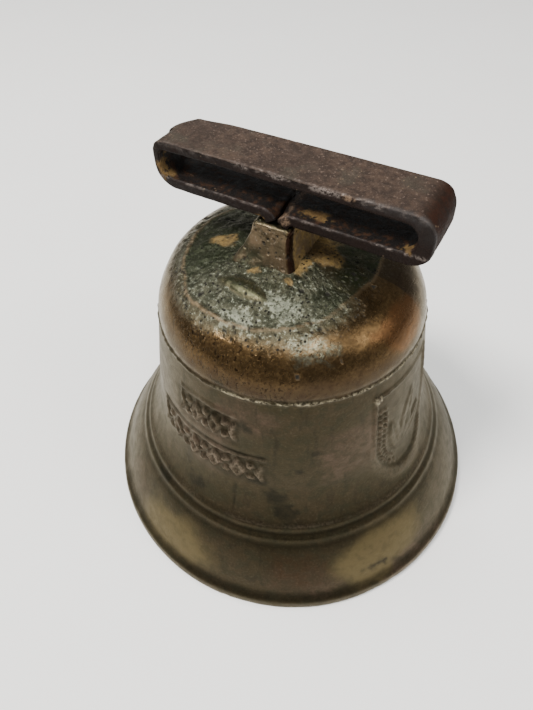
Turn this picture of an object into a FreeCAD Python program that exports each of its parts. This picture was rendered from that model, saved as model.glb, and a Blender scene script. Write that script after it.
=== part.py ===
import FreeCAD, Part
import math
import os
import Sketcher
from FreeCAD import Placement, Rotation, Vector

# A cast bronze collar bell with a forged iron strap loop and an iron clapper.
# Millimetres. The origin is the centre of the mouth, +Z is the bell's axis pointing up to the loop,
# and the long side of the strap loop lies along X. The collar strap runs through the loop along Y.

DIMENSIONS = {
    # Bell wall, outside, from the mouth up
    "MouthRadius": 60.0,
    "LipFaceRadius": 58.7,
    "LipWidestHeight": 1.2,
    "LipBandRadius": 59.4,
    "LipBandHeight": 3.9,
    "BowFootRadius": 56.9,
    "BowFootHeight": 7.0,
    "BowHeadRadius": 49.6,
    "BowHeadHeight": 20.4,
    "WaistFootRadius": 45.4,
    "WaistFootHeight": 26.2,
    "WaistNeckRadius": 40.0,
    "WaistNeckHeight": 38.2,
    "WaistTopRadius": 34.9,
    "WaistTopHeight": 70.2,
    "ShoulderRadius": 34.8,
    "ShoulderHeight": 71.6,
    "CrownEdgeRadius": 26.4,
    "CrownEdgeHeight": 83.9,
    "CrownHeight": 88.3,
    # Bell wall, inside
    "LipInnerRadius": 55.0,
    "BowInnerRadius": 44.0,
    "BowInnerHeight": 17.0,
    "WaistInnerRadius": 35.9,
    "WaistInnerHeight": 38.0,
    "ShoulderInnerRadius": 30.4,
    "ShoulderInnerHeight": 71.5,
    "CrownInnerRadius": 22.5,
    "CrownInnerHeight": 80.6,
    "CrownThickness": 6.0,
    # Curvature of the wall
    "LipRound": 1.5,
    "LipBandRound": 9.0,
    "LipHollow": 8.0,
    "BowRound": 70.0,
    "BellHollow": 34.0,
    "WaistRound": 420.0,
    "ShoulderRound": 15.0,
    "CrownRound": 80.0,
    "BowInnerHollow": 90.0,
    "BellInnerHollow": 70.0,
    "ShoulderInnerRound": 11.0,
    # Moulding rings, in pairs of radius and height, and their bead radius
    "LowerRingRadius": 47.25,
    "LowerRingHeight": 22.66,
    "UpperRingRadius": 45.22,
    "UpperRingHeight": 25.46,
    "ShoulderRingRadius": 34.7,
    "ShoulderRingHeight": 70.7,
    "RingBead": 0.9,
    "ShoulderBead": 0.8,
    # Cast lug on the crown
    "LugTopWidth": 9.8,
    "LugTopDepth": 15.0,
    "LugTopShift": -1.3,
    "LugTopHeight": 97.2,
    "LugMidWidth": 13.2,
    "LugMidDepth": 18.0,
    "LugMidShift": -2.4,
    "LugMidHeight": 89.6,
    "LugBaseWidth": 19.0,
    "LugBaseDepth": 23.0,
    "LugBaseShift": -2.6,
    "LugBaseHeight": 85.0,
    "LugTopCorner": 1.2,
    "LugMidCorner": 2.4,
    "LugBaseCorner": 5.0,
    "LugEdgeRound": 0.9,
    # Strap loop: a flat bar bent into a slot, with two tangs
    "LoopLeftLength": 32.7,
    "LoopRightLength": 33.6,
    "LoopBottom": 98.0,
    "LoopTop": 109.8,
    "LoopBand": 13.6,
    "LoopTopBar": 2.6,
    "LoopBottomBar": 2.9,
    "LoopLeftBar": 2.3,
    "LoopRightBar": 3.7,
    "LoopUpperLeftRound": 3.2,
    "LoopLowerLeftRound": 5.4,
    "LoopUpperRightRound": 5.0,
    "LoopLowerRightRound": 4.2,
    "SlotUpperLeftRound": 1.2,
    "SlotLowerLeftRound": 2.8,
    "SlotRightRound": 3.0,
    "LoopEdgeRound": 0.5,
    "SeamShift": -0.6,
    "SeamGap": 0.3,
    "NotchHalfWidth": 4.6,
    "NotchDepth": 2.2,
    "NotchBendRound": 5.0,
    "TangBar": 2.6,
    "TangWidth": 9.0,
    "ShoulderClearance": 0.2,
    "TangEndRound": 4.7,
    "TangSink": 0.7,
    # Clapper train
    "PinHeight": 73.0,
    "PinRadius": 1.75,
    "PinHoleClearance": 0.08,
    "EarGap": 0.35,
    "EarThickness": 3.0,
    "EarRadius": 4.0,
    "RoveRadius": 3.4,
    "RoveThickness": 0.9,
    "RoveGap": 0.2,
    "RivetHeadRadius": 2.9,
    "RivetHeadHeight": 1.5,
    "BowDrop": 10.5,
    "ShackleBarRadius": 1.4,
    "EyeBarRadius": 1.7,
    "EyeRingRadius": 4.0,
    "EyeGap": 0.15,
    "ShankTopRadius": 2.2,
    "ShankFootRadius": 2.8,
    "BallHeight": 15.2,
    "BallRadius": 11.0,
    "BallNeckRadius": 4.6,
    "BallNeckHeight": 15.5,
    "BallFootRadius": 4.2,
    "BallFootDrop": 10.6,
    "BallShoulderRadius": 7.0,
    "BallShoulderRise": 8.5,
    "BallNeckHollow": 14.3,
    "BallBoreRadius": 2.5,
    "ClapperRoveRadius": 4.0,
    "ClapperRoveThickness": 1.1,
    "ClapperRivetHeight": 1.4,
    "ClapperRivetRadius": 3.3,
    "ClapperRivetRound": 5.8,
}

SHEET_NAME = "Dims"
doc = FreeCAD.newDocument("collar_bell")
sheet = doc.addObject("Spreadsheet::Sheet", SHEET_NAME)


def fill_sheet():
    """Put every driving dimension in its own cell, with its word as the alias."""
    for row, (alias, value) in enumerate(DIMENSIONS.items(), start=1):
        sheet.set("A%d" % row, alias)
        sheet.set("B%d" % row, str(value))
        sheet.setAlias("B%d" % row, alias)
    doc.recompute()


def expression(words):
    """Turn 'LoopTop - LoopTopBar' into an expression that names the sheet's cells."""
    parts = words.replace("(", " ( ").replace(")", " ) ").split()
    return " ".join("%s.%s" % (SHEET_NAME, part) if part in DIMENSIONS else part for part in parts)


def value(words):
    """The number an expression gives now."""
    result = sheet.evalExpression(expression(words))
    return float(getattr(result, "Value", result))


def bind(thing, path, words):
    thing.setExpression(path, expression(words))


# ---------------------------------------------------------------- sketches and bodies

def new_body(name):
    body = doc.addObject("PartDesign::Body", name)
    body.Label = name
    return body


def new_sketch(body, name, role, offset=None):
    """A sketch on one of the body's own origin planes, moved along its normal by an expression."""
    plane = [item for item in body.Origin.OriginFeatures if item.Role == role][0]
    sketch = body.newObject("Sketcher::SketchObject", name)
    sketch.AttachmentSupport = [(plane, "")]
    sketch.MapMode = "FlatFace"
    if offset:
        bind(sketch, "AttachmentOffset.Base.z", offset)
    return sketch


def hold(sketch, kind, geometry, point, words):
    """One dimension of a sketch, tied to the sheet."""
    if point is None:
        index = sketch.addConstraint(Sketcher.Constraint(kind, geometry, value(words)))
    else:
        index = sketch.addConstraint(Sketcher.Constraint(kind, geometry, point, value(words)))
    bind(sketch, "Constraints[%d]" % index, words)


def arc_between(start, end, radius, side):
    """The short arc of that radius that bulges to the right (+1) or left (-1) of the way travelled."""
    chord = end - start
    right = Vector(chord.y, -chord.x, 0).normalize()
    reach = math.sqrt(radius ** 2 - (chord.Length / 2) ** 2)
    centre = (start + end) / 2 - right * (side * reach)
    first = math.atan2(start.y - centre.y, start.x - centre.x)
    last = math.atan2(end.y - centre.y, end.x - centre.x)
    circle = Part.Circle(centre, Vector(0, 0, 1), radius)
    if side > 0:
        return Part.ArcOfCircle(circle, first, last), True
    return Part.ArcOfCircle(circle, last, first), False


def outline(sketch, corners):
    """Draw a closed outline and tie it to the sheet.

    Each corner is (x words, y words, edge): edge is None for a straight run to the next corner, or
    (radius words, side) for an arc that bulges to the right (+1) or left (-1) of the way travelled.
    """
    places = [Vector(value(x), value(y), 0) for x, y, edge in corners]
    ends = []
    for number, (x, y, edge) in enumerate(corners):
        start = places[number]
        end = places[(number + 1) % len(places)]
        if edge is None:
            index = sketch.addGeometry(Part.LineSegment(start, end), False)
            ends.append((index, 1, 2))
            continue
        radius, side = edge
        arc, forward = arc_between(start, end, value(radius), side)
        index = sketch.addGeometry(arc, False)
        ends.append((index, 1, 2) if forward else (index, 2, 1))
    for number, (index, first, last) in enumerate(ends):
        before, unused, before_last = ends[number - 1]
        sketch.addConstraint(Sketcher.Constraint("Coincident", before, before_last, index, first))
        x, y, edge = corners[number]
        for kind, words, axis in (("DistanceX", x, -2), ("DistanceY", y, -1)):
            if words == "0":
                sketch.addConstraint(Sketcher.Constraint("PointOnObject", index, first, axis))
            else:
                hold(sketch, kind, index, first, words)
        if edge is not None:
            hold(sketch, "Radius", index, None, edge[0])


def disc(sketch, x, y, radius):
    """A full circle, its centre and radius tied to the sheet."""
    centre = Vector(value(x), value(y), 0)
    index = sketch.addGeometry(Part.Circle(centre, Vector(0, 0, 1), value(radius)), False)
    for kind, words, axis in (("DistanceX", x, -2), ("DistanceY", y, -1)):
        if words == "0":
            sketch.addConstraint(Sketcher.Constraint("PointOnObject", index, 3, axis))
        else:
            hold(sketch, kind, index, 3, words)
    hold(sketch, "Radius", index, None, radius)


def turned(body, name, sketch, axis="V_Axis"):
    """A solid of revolution about one of the sketch's own axes."""
    feature = body.newObject("PartDesign::Revolution", name)
    feature.Profile = sketch
    feature.ReferenceAxis = (sketch, [axis])
    feature.Angle = 360.0
    doc.recompute()
    return feature


def cut_through(body, name, sketch):
    """A pocket both ways through everything, which must take some metal away."""
    before = body.Shape.Volume
    feature = body.newObject("PartDesign::Pocket", name)
    feature.Profile = sketch
    feature.Type = "ThroughAll"
    feature.Midplane = True
    doc.recompute()
    if body.Shape.Volume >= before:
        raise RuntimeError("%s takes nothing away" % name)
    return feature


def padded(body, name, sketch, length, midplane=False):
    feature = body.newObject("PartDesign::Pad", name)
    feature.Profile = sketch
    bind(feature, "Length", length)
    feature.Midplane = midplane
    doc.recompute()
    return feature


def rectangle(width, depth, shift="0"):
    """Corners of a rectangle centred on (shift, 0), as words for outline()."""
    left = "%s - ( %s ) / 2" % (shift, width)
    right = "%s + ( %s ) / 2" % (shift, width)
    low = "0 - ( %s ) / 2" % depth
    high = "( %s ) / 2" % depth
    return [(left, low, None), (right, low, None), (right, high, None), (left, high, None)]


def rounded_rectangle(width, depth, shift, corner):
    """The same rectangle with its four corners as arcs."""
    left = "%s - ( %s ) / 2" % (shift, width)
    right = "%s + ( %s ) / 2" % (shift, width)
    low = "0 - ( %s ) / 2" % depth
    high = "( %s ) / 2" % depth
    turn = (corner, 1)
    return [
        (left + " + " + corner, low, None),
        (right + " - " + corner, low, turn),
        (right, low + " + " + corner, None),
        (right, high + " - " + corner, turn),
        (right + " - " + corner, high, None),
        (left + " + " + corner, high, turn),
        (left, high + " - " + corner, None),
        (left, low + " + " + corner, turn),
    ]


# ---------------------------------------------------------------- the bell

def make_bell_casting():
    """Bronze body with its rings, and the lug that grips the tangs of the strap loop."""
    body = new_body("bell_casting")
    wall = new_sketch(body, "wall_section", "XZ_Plane")
    outline(wall, [
        ("LipInnerRadius", "0", None),
        ("LipFaceRadius", "0", ("LipRound", 1)),
        ("MouthRadius", "LipWidestHeight", ("LipBandRound", 1)),
        ("LipBandRadius", "LipBandHeight", ("LipHollow", -1)),
        ("BowFootRadius", "BowFootHeight", ("BowRound", 1)),
        ("BowHeadRadius", "BowHeadHeight", None),
        ("WaistFootRadius", "WaistFootHeight", ("BellHollow", -1)),
        ("WaistNeckRadius", "WaistNeckHeight", ("WaistRound", 1)),
        ("WaistTopRadius", "WaistTopHeight", None),
        ("ShoulderRadius", "ShoulderHeight", ("ShoulderRound", 1)),
        ("CrownEdgeRadius", "CrownEdgeHeight", ("CrownRound", 1)),
        ("0", "CrownHeight", None),
        ("0", "CrownHeight - CrownThickness", ("CrownRound", -1)),
        ("CrownInnerRadius", "CrownInnerHeight", ("ShoulderInnerRound", -1)),
        ("ShoulderInnerRadius", "ShoulderInnerHeight", None),
        ("WaistInnerRadius", "WaistInnerHeight", ("BellInnerHollow", 1)),
        ("BowInnerRadius", "BowInnerHeight", ("BowInnerHollow", 1)),
    ])
    turned(body, "wall", wall)
    rings = (
        ("lower_ring", "LowerRingRadius", "LowerRingHeight", "RingBead"),
        ("upper_ring", "UpperRingRadius", "UpperRingHeight", "RingBead"),
        ("shoulder_ring", "ShoulderRingRadius", "ShoulderRingHeight", "ShoulderBead"),
    )
    for name, radius, height, bead in rings:
        section = new_sketch(body, name + "_section", "XZ_Plane")
        disc(section, radius, height, bead)
        turned(body, name, section)
    levels = []
    for level in ("Base", "Mid", "Top"):
        section = new_sketch(body, "lug_%s_section" % level.lower(), "XY_Plane", "Lug%sHeight" % level)
        outline(section, rounded_rectangle(
            "Lug%sWidth" % level, "Lug%sDepth" % level, "Lug%sShift" % level, "Lug%sCorner" % level))
        levels.append(section)
    lug = body.newObject("PartDesign::AdditiveLoft", "lug")
    lug.Profile = levels[0]
    lug.Sections = levels[1:]
    lug.Ruled = False
    doc.recompute()
    soften_lug(body)
    tang_hole = new_sketch(body, "tang_hole_section", "XY_Plane")
    outline(tang_hole, rectangle("2 * TangBar + SeamGap", "TangWidth", "SeamShift"))
    cut_through(body, "tang_hole", tang_hole)
    return body


def soften_lug(body):
    """Round the edges of the lug's top face, as a casting's are."""
    top = value("LugTopHeight")
    chosen = []
    for number, edge in enumerate(body.Shape.Edges, start=1):
        if edge.BoundBox.ZMin > top - 0.01:
            chosen.append("Edge%d" % number)
    rounding = body.newObject("PartDesign::Fillet", "lug_rounding")
    rounding.Base = (body.getObject("lug"), chosen)
    bind(rounding, "Radius", "LugEdgeRound")
    doc.recompute()


# ---------------------------------------------------------------- the strap loop

def soften_band(body):
    """Break the long edges of the bar, front and back."""
    face = value("LoopBand") / 2
    chosen = []
    for number, edge in enumerate(body.Shape.Edges, start=1):
        if min(abs(edge.BoundBox.YMin), abs(edge.BoundBox.YMax)) > face - 0.01:
            if edge.BoundBox.YLength < 0.01:
                chosen.append("Edge%d" % number)
    rounding = body.newObject("PartDesign::Fillet", "band_rounding")
    rounding.Base = (body.getObject("band"), chosen)
    bind(rounding, "Radius", "LoopEdgeRound")
    doc.recompute()


def make_strap_loop():
    """One flat iron bar bent round the slot, its two ends turned down together and narrowed to tangs."""
    body = new_body("strap_loop")
    left = "0 - LoopLeftLength"
    right = "LoopRightLength"
    band = new_sketch(body, "band_section", "XZ_Plane")
    outline(band, [
        (left + " + LoopLowerLeftRound", "LoopBottom", None),
        (right + " - LoopLowerRightRound", "LoopBottom", ("LoopLowerRightRound", 1)),
        (right, "LoopBottom + LoopLowerRightRound", None),
        (right, "LoopTop - LoopUpperRightRound", ("LoopUpperRightRound", 1)),
        (right + " - LoopUpperRightRound", "LoopTop", None),
        (left + " + LoopUpperLeftRound", "LoopTop", ("LoopUpperLeftRound", 1)),
        (left, "LoopTop - LoopUpperLeftRound", None),
        (left, "LoopBottom + LoopLowerLeftRound", ("LoopLowerLeftRound", 1)),
    ])
    padded(body, "band", band, "LoopBand", midplane=True)
    soften_band(body)
    tang = new_sketch(body, "tang_section", "YZ_Plane", "SeamShift")
    half = "TangWidth / 2"
    outline(tang, [
        ("0 - " + half, "PinHeight", ("TangEndRound", 1)),
        (half, "PinHeight", None),
        (half, "LoopBottom + TangSink", None),
        ("0 - " + half, "LoopBottom + TangSink", None),
    ])
    padded(body, "tangs", tang, "2 * TangBar + SeamGap", midplane=True)
    shoulder = new_sketch(body, "tang_shoulder_section", "XZ_Plane")
    shoulder_foot = "LugTopHeight + ShoulderClearance"
    outline(shoulder, [
        ("SeamShift - TangBar - SeamGap / 2", shoulder_foot, None),
        ("SeamShift + TangBar + SeamGap / 2", shoulder_foot, None),
        ("SeamShift + TangBar + SeamGap / 2", "LoopBottom + TangSink", None),
        ("SeamShift - TangBar - SeamGap / 2", "LoopBottom + TangSink", None),
    ])
    padded(body, "tang_shoulders", shoulder, "LoopBand", midplane=True)
    slot = new_sketch(body, "slot_section", "XZ_Plane")
    floor = "LoopBottom + LoopBottomBar"
    roof = "LoopTop - LoopTopBar"
    slot_left = left + " + LoopLeftBar"
    slot_right = right + " - LoopRightBar"
    seam_left = "SeamShift - SeamGap / 2"
    seam_right = "SeamShift + SeamGap / 2"
    outline(slot, [
        (slot_left + " + SlotLowerLeftRound", floor, None),
        ("SeamShift - NotchHalfWidth", floor, ("NotchBendRound", -1)),
        (seam_left, floor + " - NotchDepth", None),
        (seam_right, floor + " - NotchDepth", ("NotchBendRound", -1)),
        ("SeamShift + NotchHalfWidth", floor, None),
        (slot_right + " - SlotRightRound", floor, ("SlotRightRound", 1)),
        (slot_right, floor + " + SlotRightRound", None),
        (slot_right, roof + " - SlotRightRound", ("SlotRightRound", 1)),
        (slot_right + " - SlotRightRound", roof, None),
        (slot_left + " + SlotUpperLeftRound", roof, ("SlotUpperLeftRound", 1)),
        (slot_left, roof + " - SlotUpperLeftRound", None),
        (slot_left, floor + " + SlotLowerLeftRound", ("SlotLowerLeftRound", 1)),
    ])
    cut_through(body, "slot", slot)
    seam = new_sketch(body, "seam_section", "XZ_Plane")
    outline(seam, [
        (seam_left, "PinHeight - 2 * TangEndRound", None),
        (seam_right, "PinHeight - 2 * TangEndRound", None),
        (seam_right, floor + " - NotchDepth", None),
        (seam_left, floor + " - NotchDepth", None),
    ])
    cut_through(body, "seam", seam)
    pin_hole = new_sketch(body, "pin_hole_section", "YZ_Plane")
    disc(pin_hole, "0", "PinHeight", "PinRadius")
    cut_through(body, "pin_hole", pin_hole)
    return body


# ---------------------------------------------------------------- the clapper's hanger

EAR_INNER = "TangBar + SeamGap / 2 + EarGap"
EAR_OUTER = EAR_INNER + " + EarThickness"
ROVE_INNER = EAR_OUTER + " + RoveGap"
ROVE_OUTER = ROVE_INNER + " + RoveThickness"
RIVET_HEAD_SQUARES = "( RivetHeadRadius * RivetHeadRadius + RivetHeadHeight * RivetHeadHeight )"
RIVET_HEAD_ROUND = RIVET_HEAD_SQUARES + " / ( 2 * RivetHeadHeight )"


def make_shackle_pin():
    """Iron rivet through both tangs, with a domed head at each end."""
    body = new_body("shackle_pin")
    section = new_sketch(body, "pin_section", "XY_Plane")
    outer = ROVE_OUTER + " + RivetHeadHeight"
    outline(section, [
        ("SeamShift - ( %s )" % outer, "0", None),
        ("SeamShift + %s" % outer, "0", (RIVET_HEAD_ROUND, 1)),
        ("SeamShift + %s" % ROVE_OUTER, "RivetHeadRadius", None),
        ("SeamShift + %s" % ROVE_OUTER, "PinRadius", None),
        ("SeamShift - ( %s )" % ROVE_OUTER, "PinRadius", None),
        ("SeamShift - ( %s )" % ROVE_OUTER, "RivetHeadRadius", (RIVET_HEAD_ROUND, 1)),
    ])
    turned(body, "pin", section, "H_Axis")
    bind(body, "Placement.Base.z", "PinHeight")
    return body


def make_shackle_roves():
    """The two washers under the rivet's heads, on the outer side of each shackle ear."""
    group = doc.addObject("Part::Compound", "shackle_roves")
    group.Label = "shackle_roves"
    washers = []
    for name, start in (
        ("right_rove", "SeamShift + %s" % ROVE_INNER),
        ("left_rove", "SeamShift - ( %s )" % ROVE_OUTER),
    ):
        disc_shape = doc.addObject("Part::Cylinder", name + "_disc")
        hole = doc.addObject("Part::Cylinder", name + "_hole")
        for cylinder, radius in ((disc_shape, "RoveRadius"), (hole, "PinRadius")):
            bind(cylinder, "Radius", radius)
            bind(cylinder, "Height", "RoveThickness")
            cylinder.Placement = Placement(Vector(0, 0, 0), Rotation(Vector(0, 1, 0), 90))
            bind(cylinder, "Placement.Base.x", start)
            bind(cylinder, "Placement.Base.z", "PinHeight")
        washer = doc.addObject("Part::Cut", name)
        washer.Base = disc_shape
        washer.Tool = hole
        washers.append(washer)
    group.Links = washers
    return group


def make_clapper_shackle():
    """Round bar bent into a U, with a flattened ear at each end that hangs on the pin."""
    body = new_body("clapper_shackle")
    leg = "%s + EarThickness / 2" % EAR_INNER
    bow_centre = "PinHeight - BowDrop + %s" % leg
    route = new_sketch(body, "bar_route", "XZ_Plane")
    draw_u_route(route, leg, bow_centre)
    section = new_sketch(body, "bar_section", "XY_Plane", "PinHeight - EarRadius / 2")
    disc(section, "SeamShift - ( %s )" % leg, "0", "ShackleBarRadius")
    bar = body.newObject("PartDesign::AdditivePipe", "bar")
    bar.Profile = section
    bar.Spine = route
    doc.recompute()
    for name, start in (("right_ear", EAR_INNER), ("left_ear", "0 - ( %s )" % EAR_OUTER)):
        ear = new_sketch(body, name + "_section", "YZ_Plane", "SeamShift + ( %s )" % start)
        disc(ear, "0", "PinHeight", "EarRadius")
        padded(body, name, ear, "EarThickness")
    eyes = new_sketch(body, "pin_eye_section", "YZ_Plane")
    disc(eyes, "0", "PinHeight", "PinRadius + PinHoleClearance")
    cut_through(body, "pin_eyes", eyes)
    return body


def draw_u_route(sketch, leg, bow_centre):
    """An open path down the left leg, round the bow and up the right leg."""
    middle = value("SeamShift")
    reach = value(leg)
    top = value("PinHeight - EarRadius / 2")
    low = value(bow_centre)
    left_line = Part.LineSegment(Vector(middle - reach, top, 0), Vector(middle - reach, low, 0))
    bow_circle = Part.Circle(Vector(middle, low, 0), Vector(0, 0, 1), reach)
    bow = Part.ArcOfCircle(bow_circle, math.pi, 2 * math.pi)
    right_line = Part.LineSegment(Vector(middle + reach, low, 0), Vector(middle + reach, top, 0))
    first, arc, last = [sketch.addGeometry(item, False) for item in (left_line, bow, right_line)]
    sketch.addConstraint(Sketcher.Constraint("Coincident", first, 2, arc, 1))
    sketch.addConstraint(Sketcher.Constraint("Coincident", arc, 2, last, 1))
    sketch.addConstraint(Sketcher.Constraint("Vertical", first))
    sketch.addConstraint(Sketcher.Constraint("Vertical", last))
    hold(sketch, "DistanceX", arc, 3, "SeamShift")
    hold(sketch, "DistanceY", arc, 3, bow_centre)
    hold(sketch, "DistanceX", first, 1, "SeamShift - ( %s )" % leg)
    hold(sketch, "DistanceY", first, 1, "PinHeight - EarRadius / 2")
    hold(sketch, "DistanceY", last, 2, "PinHeight - EarRadius / 2")
    sketch.addConstraint(Sketcher.Constraint("Horizontal", arc, 1, arc, 3))
    sketch.addConstraint(Sketcher.Constraint("Horizontal", arc, 2, arc, 3))


# ---------------------------------------------------------------- the clapper

BOW_INSIDE = "PinHeight - BowDrop + ShackleBarRadius"
EYE_CENTRE = BOW_INSIDE + " + EyeGap + EyeBarRadius - EyeRingRadius"
SHANK_TOP = EYE_CENTRE + " - EyeRingRadius"
BALL_FOOT = "BallHeight - BallFootDrop"
ROVE_FOOT = BALL_FOOT + " - ClapperRoveThickness"


def make_clapper_shank():
    """Forged rod: a ring eye that hangs in the shackle's bow, a tapered stem and a riveted foot."""
    eye = doc.addObject("Part::Torus", "shank_eye")
    bind(eye, "Radius1", "EyeRingRadius")
    bind(eye, "Radius2", "EyeBarRadius")
    eye.Placement = Placement(Vector(0, 0, 0), Rotation(Vector(0, 1, 0), 90))
    bind(eye, "Placement.Base.x", "SeamShift")
    bind(eye, "Placement.Base.z", EYE_CENTRE)
    stem = new_body("shank_stem")
    section = new_sketch(stem, "stem_section", "XZ_Plane")
    ball_top = "BallHeight + BallNeckHeight"
    outline(section, [
        ("0", ROVE_FOOT + " - ClapperRivetHeight", ("ClapperRivetRound", 1)),
        ("ClapperRivetRadius", ROVE_FOOT, None),
        ("BallBoreRadius", ROVE_FOOT, None),
        ("BallBoreRadius", ball_top, None),
        ("ShankFootRadius", ball_top, None),
        ("ShankTopRadius", SHANK_TOP, None),
        ("EyeBarRadius / 2", SHANK_TOP + " + EyeBarRadius / 2", None),
        ("0", SHANK_TOP + " + EyeBarRadius / 2", None),
    ])
    turned(stem, "stem", section)
    bind(stem, "Placement.Base.x", "SeamShift")
    shank = doc.addObject("Part::MultiFuse", "clapper_shank")
    shank.Label = "clapper_shank"
    shank.Shapes = [eye, stem]
    return shank


def make_clapper_ball():
    """Cast iron drop, bored for the shank, that strikes the sound bow."""
    body = new_body("clapper_ball")
    section = new_sketch(body, "drop_section", "XZ_Plane")
    outline(section, [
        ("BallBoreRadius", BALL_FOOT, None),
        ("BallFootRadius", BALL_FOOT, ("BallRadius", 1)),
        ("BallRadius", "BallHeight", ("BallRadius", 1)),
        ("BallShoulderRadius", "BallHeight + BallShoulderRise", ("BallNeckHollow", -1)),
        ("BallNeckRadius", "BallHeight + BallNeckHeight", None),
        ("BallBoreRadius", "BallHeight + BallNeckHeight", None),
    ])
    turned(body, "drop", section)
    bind(body, "Placement.Base.x", "SeamShift")
    return body


def make_clapper_rove():
    """Washer between the drop and the riveted foot of the shank."""
    body = new_body("clapper_rove")
    section = new_sketch(body, "rove_section", "XY_Plane", ROVE_FOOT)
    disc(section, "0", "0", "ClapperRoveRadius")
    disc(section, "0", "0", "BallBoreRadius")
    padded(body, "rove", section, "ClapperRoveThickness")
    bind(body, "Placement.Base.x", "SeamShift")
    return body


# ---------------------------------------------------------------- build, check and write

def check(nodes):
    """Stop if any object failed to compute or any sub-part has no valid shape."""
    for item in doc.Objects:
        states = [str(state) for state in item.State]
        if "Invalid" in states or "Error" in states:
            raise RuntimeError("%s is %s" % (item.Label, states))
    for node in nodes:
        if node.Shape.isNull() or not node.Shape.isValid():
            raise RuntimeError("%s has no valid shape" % node.Label)


def write(nodes):
    os.makedirs("parts", exist_ok=True)
    for node in nodes:
        node.Shape.exportStep("parts/%s.step" % node.Label)
        box = node.Shape.BoundBox
        print("%-16s %9.1f mm3 %d solid(s)  X %.2f..%.2f  Y %.2f..%.2f  Z %.2f..%.2f" % (
            node.Label, node.Shape.Volume, len(node.Shape.Solids),
            box.XMin, box.XMax, box.YMin, box.YMax, box.ZMin, box.ZMax))


fill_sheet()
sub_parts = [
    make_bell_casting(),
    make_strap_loop(),
    make_shackle_pin(),
    make_shackle_roves(),
    make_clapper_shackle(),
    make_clapper_shank(),
    make_clapper_ball(),
    make_clapper_rove(),
]
doc.recompute()
check(sub_parts)
write(sub_parts)
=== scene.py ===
"""Looks of the cast bronze collar bell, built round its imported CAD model."""

import itertools
import math

import bpy
import numpy as np
from mathutils import Matrix, Vector


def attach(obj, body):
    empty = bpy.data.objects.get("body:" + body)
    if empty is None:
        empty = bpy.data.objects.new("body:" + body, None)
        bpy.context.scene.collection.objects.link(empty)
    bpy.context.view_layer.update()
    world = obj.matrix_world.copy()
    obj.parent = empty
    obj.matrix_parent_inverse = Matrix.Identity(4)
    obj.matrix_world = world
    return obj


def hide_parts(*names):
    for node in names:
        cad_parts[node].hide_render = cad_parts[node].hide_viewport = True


MM = 0.001
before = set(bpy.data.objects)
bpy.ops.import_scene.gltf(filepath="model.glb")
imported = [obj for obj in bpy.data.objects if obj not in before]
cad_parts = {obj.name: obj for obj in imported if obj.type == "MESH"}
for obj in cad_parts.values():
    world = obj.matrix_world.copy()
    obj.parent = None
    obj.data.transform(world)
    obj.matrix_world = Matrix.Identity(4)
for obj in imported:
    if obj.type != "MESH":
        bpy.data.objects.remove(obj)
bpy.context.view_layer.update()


# ------------------------------------------------------------ repeatable noise

def corner_values(x, y, z, seed):
    """A repeatable value from -1 to 1 for each corner of the noise lattice."""
    with np.errstate(over="ignore"):
        code = x * np.uint32(0x8DA6B343) + y * np.uint32(0xD8163841) + z * np.uint32(0xCB1AB31F)
        code = code + np.uint32(977 * seed + 11)
        code = (code ^ (code >> np.uint32(15))) * np.uint32(0x2C1B3C6D)
        code = (code ^ (code >> np.uint32(12))) * np.uint32(0x297A2D39)
        code = code ^ (code >> np.uint32(15))
    return code / 2147483648.0 - 1.0


def lattice_cell(points, size):
    """The whole part of each point's lattice place, as wrapped integers, and the fraction left."""
    place = points / size
    whole = np.floor(place)
    return whole.astype(np.int64).astype(np.uint32), place - whole


def noise(points, size, seed):
    """Smooth noise from -1 to 1 with lumps about `size` mm across."""
    cell, part = lattice_cell(points, size)
    part = part ** 3 * (part * (part * 6 - 15) + 10)
    total = np.zeros(len(points))
    for corner in itertools.product((0, 1), repeat=3):
        weight = np.ones(len(points))
        for axis, far in enumerate(corner):
            weight = weight * (part[:, axis] if far else 1 - part[:, axis])
        place = [cell[:, axis] + np.uint32(corner[axis]) for axis in range(3)]
        total += weight * corner_values(*place, seed)
    return total


def fractal(points, size, octaves, seed):
    """Noise with finer and weaker layers added, about -1 to 1."""
    total = np.zeros(len(points))
    reach = 0.0
    for octave in range(octaves):
        share = 0.55 ** octave
        total += share * noise(points, size / 2 ** octave, seed + octave)
        reach += share
    return total / reach * 1.6


def dents(points, size, share, seed):
    """0 to 1, highest in the middle of each round dent; `share` of the lattice cells hold one."""
    cell, part = lattice_cell(points, size)
    deepest = np.zeros(len(points))
    for move in itertools.product((-1, 0, 1), repeat=3):
        corner = [cell[:, axis] + np.uint32(move[axis] % 2 ** 32) for axis in range(3)]
        jitter = [0.5 + 0.4 * corner_values(*corner, seed + axis) for axis in range(3)]
        away = sum((part[:, axis] - move[axis] - jitter[axis]) ** 2 for axis in range(3))
        radius = 0.32 + 0.16 * corner_values(*corner, seed + 3)
        there = corner_values(*corner, seed + 4) < 2 * share - 1
        deepest = np.maximum(deepest, np.where(there, 1 - away / radius ** 2, 0))
    return np.clip(deepest, 0, 1)


def step(value, low, high):
    """0 below low, 1 above high and a smooth rise between; works with low above high too."""
    part = np.clip((value - low) / (high - low), 0, 1)
    return part * part * (3 - 2 * part)


def bump(value, middle, half):
    """1 at the middle and falling to near 0 at `half` to either side."""
    return np.exp(-((value - middle) / (0.6 * half)) ** 2)


def strongest(*values):
    """The largest of several values at each point."""
    return np.maximum.reduce(values)


# ------------------------------------------------------------ lines and meshes

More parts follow.
